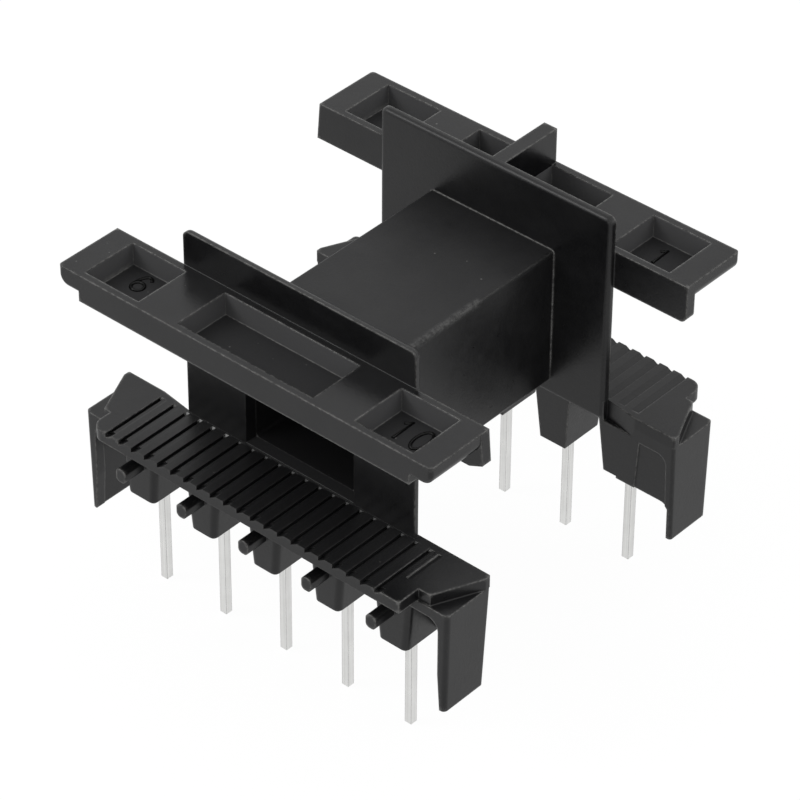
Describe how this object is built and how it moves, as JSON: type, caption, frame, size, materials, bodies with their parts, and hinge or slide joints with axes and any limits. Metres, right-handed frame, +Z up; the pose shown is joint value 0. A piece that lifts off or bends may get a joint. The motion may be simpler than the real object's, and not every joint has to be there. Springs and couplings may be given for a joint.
{
  "type": "transformer bobbin",
  "caption": "Horizontal coil former with a square bore between two thin flanges, pocketed bars above the yoke room, ribbed terminal blocks and square solder pins.",
  "frame": {"origin": "middle of the footprint, level with the pin tips", "axes": "+X along the rows of pins, +Y along the bore to the side with the fin, +Z up from the circuit board"},
  "size_m": [0.0292, 0.0276, 0.026],
  "materials": {
    "moulding": "satin, charcoal black",
    "pins": "bright tinned"
  },
  "bodies": {
    "root": {"coil_former": "moulding", "terminal_pin_01": "pins", "terminal_pin_02": "pins", "terminal_pin_03": "pins", "terminal_pin_04": "pins", "terminal_pin_05": "pins", "terminal_pin_06": "pins", "terminal_pin_07": "pins", "terminal_pin_08": "pins", "terminal_pin_09": "pins", "terminal_pin_10": "pins"}
  },
  "joints": []
}
